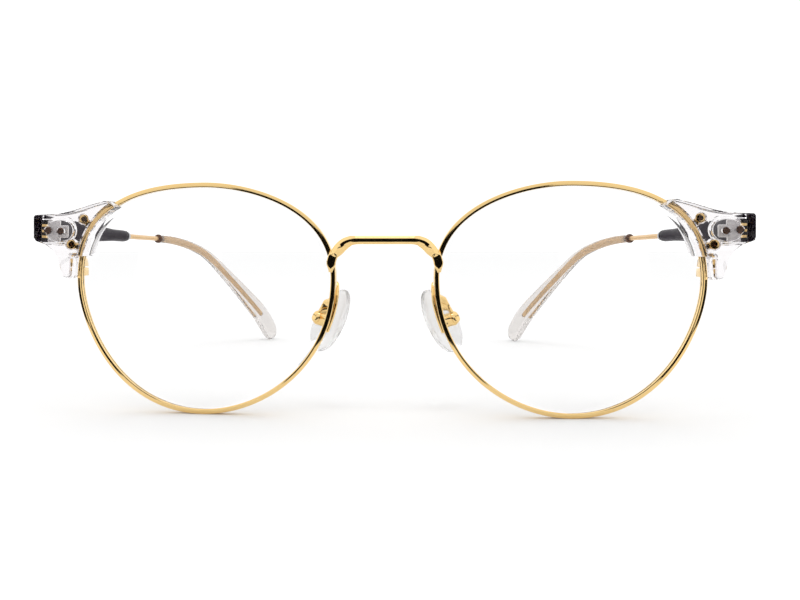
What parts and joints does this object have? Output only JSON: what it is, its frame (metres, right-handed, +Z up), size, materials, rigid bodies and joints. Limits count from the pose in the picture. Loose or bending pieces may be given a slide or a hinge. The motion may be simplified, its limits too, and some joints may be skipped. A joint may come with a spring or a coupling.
{
  "type": "round wire eyeglasses",
  "caption": "Panto-round wire eyeglasses in polished gold with clear end pieces, black sleeved temples that fold on hinges, clear temple tips and rocking silicone nose pads.",
  "frame": {"origin": "middle of the underside of the overall box: below the middle of the open glasses, at the height of the rims' lowest points", "axes": "+X to the right as seen from in front (the wearer's left), +Y from the front back along the temples, +Z up; the front faces -Y"},
  "size_m": [0.1396, 0.1254, 0.0442],
  "materials": {
    "bridge": "polished",
    "rim_left": "polished",
    "rim_right": "polished",
    "lens_left": "optically clear",
    "lens_right": "optically clear",
    "closing_block_lower_left": "polished",
    "closing_block_lower_right": "polished",
    "closing_block_upper_left": "polished",
    "closing_block_upper_right": "polished",
    "closing_screw_left": "polished",
    "closing_screw_right": "polished",
    "rim_lug_upper_left": "polished",
    "rim_lug_upper_right": "polished",
    "rim_lug_lower_left": "polished",
    "rim_lug_lower_right": "polished",
    "lug_screw_upper_left": "darkened",
    "lug_screw_upper_right": "darkened",
    "lug_screw_lower_left": "darkened",
    "lug_screw_lower_right": "darkened",
    "end_piece_left": "polished clear acetate",
    "end_piece_right": "polished clear acetate",
    "hinge_front_leaf_left": "polished",
    "hinge_front_leaf_right": "polished",
    "hinge_rivet_inner_left": "darkened",
    "hinge_rivet_inner_right": "darkened",
    "hinge_rivet_outer_left": "darkened",
    "hinge_rivet_outer_right": "darkened",
    "hinge_screw_left": "polished",
    "hinge_screw_right": "polished",
    "hinge_rear_leaf_left": "polished",
    "hinge_rear_leaf_right": "polished",
    "temple_sleeve_left": "polished black acetate",
    "temple_sleeve_right": "polished black acetate",
    "temple_ferrule_left": "satin",
    "temple_ferrule_right": "satin",
    "temple_core_left": "satin",
    "temple_core_right": "satin",
    "tip_collar_left": "darkened",
    "tip_collar_right": "darkened",
    "temple_tip_left": "polished clear acetate",
    "temple_tip_right": "polished clear acetate",
    "pad_arm_left": "polished",
    "pad_arm_right": "polished",
    "pad_box_left": "polished",
    "pad_box_right": "polished",
    "pad_screw_left": "polished",
    "pad_screw_right": "polished",
    "pad_insert_left": "bright",
    "pad_insert_right": "bright",
    "nose_pad_left": "translucent silicone",
    "nose_pad_right": "translucent silicone"
  },
  "bodies": {
    "front": {"bridge": "bridge", "rim_left": "rim_left", "rim_right": "rim_right", "lens_left": "lens_left", "lens_right": "lens_right", "closing_block_lower_left": "closing_block_lower_left", "closing_block_lower_right": "closing_block_lower_right", "closing_block_upper_left": "closing_block_upper_left", "closing_block_upper_right": "closing_block_upper_right", "closing_screw_left": "closing_screw_left", "closing_screw_right": "closing_screw_right", "rim_lug_upper_left": "rim_lug_upper_left", "rim_lug_upper_right": "rim_lug_upper_right", "rim_lug_lower_left": "rim_lug_lower_left", "rim_lug_lower_right": "rim_lug_lower_right", "lug_screw_upper_left": "lug_screw_upper_left", "lug_screw_upper_right": "lug_screw_upper_right", "lug_screw_lower_left": "lug_screw_lower_left", "lug_screw_lower_right": "lug_screw_lower_right", "end_piece_left": "end_piece_left", "end_piece_right": "end_piece_right", "hinge_front_leaf_left": "hinge_front_leaf_left", "hinge_front_leaf_right": "hinge_front_leaf_right", "hinge_rivet_inner_left": "hinge_rivet_inner_left", "hinge_rivet_inner_right": "hinge_rivet_inner_right", "hinge_rivet_outer_left": "hinge_rivet_outer_left", "hinge_rivet_outer_right": "hinge_rivet_outer_right", "hinge_screw_left": "hinge_screw_left", "hinge_screw_right": "hinge_screw_right", "pad_arm_left": "pad_arm_left", "pad_arm_right": "pad_arm_right", "pad_box_left": "pad_box_left", "pad_box_right": "pad_box_right", "pad_screw_left": "pad_screw_left", "pad_screw_right": "pad_screw_right"},
    "temple_left": {"hinge_rear_leaf_left": "hinge_rear_leaf_left", "temple_sleeve_left": "temple_sleeve_left", "temple_ferrule_left": "temple_ferrule_left", "temple_core_left": "temple_core_left", "tip_collar_left": "tip_collar_left", "temple_tip_left": "temple_tip_left"},
    "pad_left": {"pad_insert_left": "pad_insert_left", "nose_pad_left": "nose_pad_left"},
    "temple_right": {"hinge_rear_leaf_right": "hinge_rear_leaf_right", "temple_sleeve_right": "temple_sleeve_right", "temple_ferrule_right": "temple_ferrule_right", "temple_core_right": "temple_core_right", "tip_collar_right": "tip_collar_right", "temple_tip_right": "temple_tip_right"},
    "pad_right": {"pad_insert_right": "pad_insert_right", "nose_pad_right": "nose_pad_right"}
  },
  "joints": [
    {"name": "temple_hinge_left", "type": "hinge", "parent": "front", "child": "temple_left", "pos_m": [-0.0674, -0.0514, 0.0351], "axis": [0, 0, -1], "range_deg": [0, 78]},
    {"name": "temple_hinge_right", "type": "hinge", "parent": "front", "child": "temple_right", "pos_m": [0.0674, -0.0514, 0.0351], "axis": [0, 0, 1], "range_deg": [0, 74]},
    {"name": "pad_rock_left", "type": "hinge", "parent": "front", "child": "pad_left", "pos_m": [-0.0131, -0.0521, 0.01782], "axis": [-0.5272, 0.6828, 0.5059], "range_deg": [-10, 10]},
    {"name": "pad_rock_right", "type": "hinge", "parent": "front", "child": "pad_right", "pos_m": [0.0131, -0.0521, 0.01782], "axis": [0.5272, 0.6828, 0.5059], "range_deg": [-10, 10]}
  ]
}
